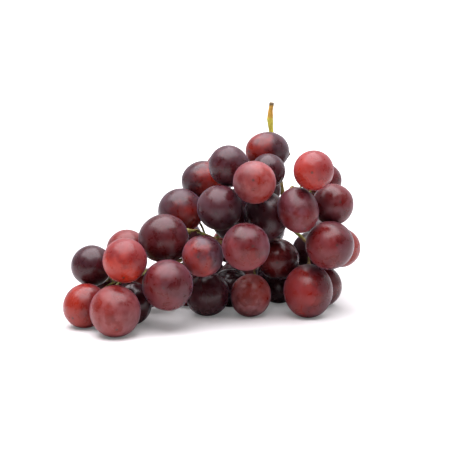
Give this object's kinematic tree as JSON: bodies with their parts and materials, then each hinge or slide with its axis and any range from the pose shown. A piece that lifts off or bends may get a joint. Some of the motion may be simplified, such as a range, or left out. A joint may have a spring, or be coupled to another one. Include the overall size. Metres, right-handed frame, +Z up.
{
  "type": "bunch of grapes",
  "caption": "Bunch of round red table grapes on one branched stem, standing on its base berries, for food and kitchen scenes.",
  "frame": {"origin": "on the table, under the middle of the bunch's box", "axes": "+Z up, +X towards the broad shoulder end of the bunch, -Y towards its front, the thin tip at -X"},
  "size_m": [0.1614, 0.1396, 0.1136],
  "materials": {
    "berry": "smooth red grape skin under a thin matt waxy bloom",
    "stem": "green to yellow-brown young wood, matt"
  },
  "bodies": {
    "root": {"berry_back_base": "berry", "berry_back_base_far": "berry", "berry_back_base_left": "berry", "berry_back_centre": "berry", "berry_back_high": "berry", "berry_back_left": "berry", "berry_back_left_base": "berry", "berry_back_low": "berry", "berry_back_lower_left": "berry", "berry_back_middle": "berry", "berry_back_right": "berry", "berry_back_right_low": "berry", "berry_back_upper": "berry", "berry_base_dark": "berry", "berry_base_front": "berry", "berry_base_inner": "berry", "berry_base_left": "berry", "berry_base_sliver": "berry", "berry_behind_front": "berry", "berry_behind_left": "berry", "berry_behind_top": "berry", "berry_front": "berry", "berry_front_left": "berry", "berry_heart": "berry", "berry_left_front": "berry", "berry_left_middle": "berry", "berry_left_shoulder": "berry", "berry_left_upper": "berry", "berry_right_back": "berry", "berry_right_base": "berry", "berry_right_base_back": "berry", "berry_right_front": "berry", "berry_right_inner": "berry", "berry_right_red": "berry", "berry_right_upper": "berry", "berry_shoulder_back": "berry", "berry_shoulder_front": "berry", "berry_shoulder_low": "berry", "berry_shoulder_right": "berry", "berry_tip_base_back": "berry", "berry_tip_base_front": "berry", "berry_tip_base_left": "berry", "berry_tip_behind": "berry", "berry_tip_far": "berry", "berry_tip_left": "berry", "berry_tip_right": "berry", "berry_tip_sliver": "berry", "berry_tip_upper": "berry", "berry_top": "berry", "berry_top_front": "berry", "berry_top_left": "berry", "berry_top_small": "berry", "stem": "stem"}
  },
  "joints": []
}
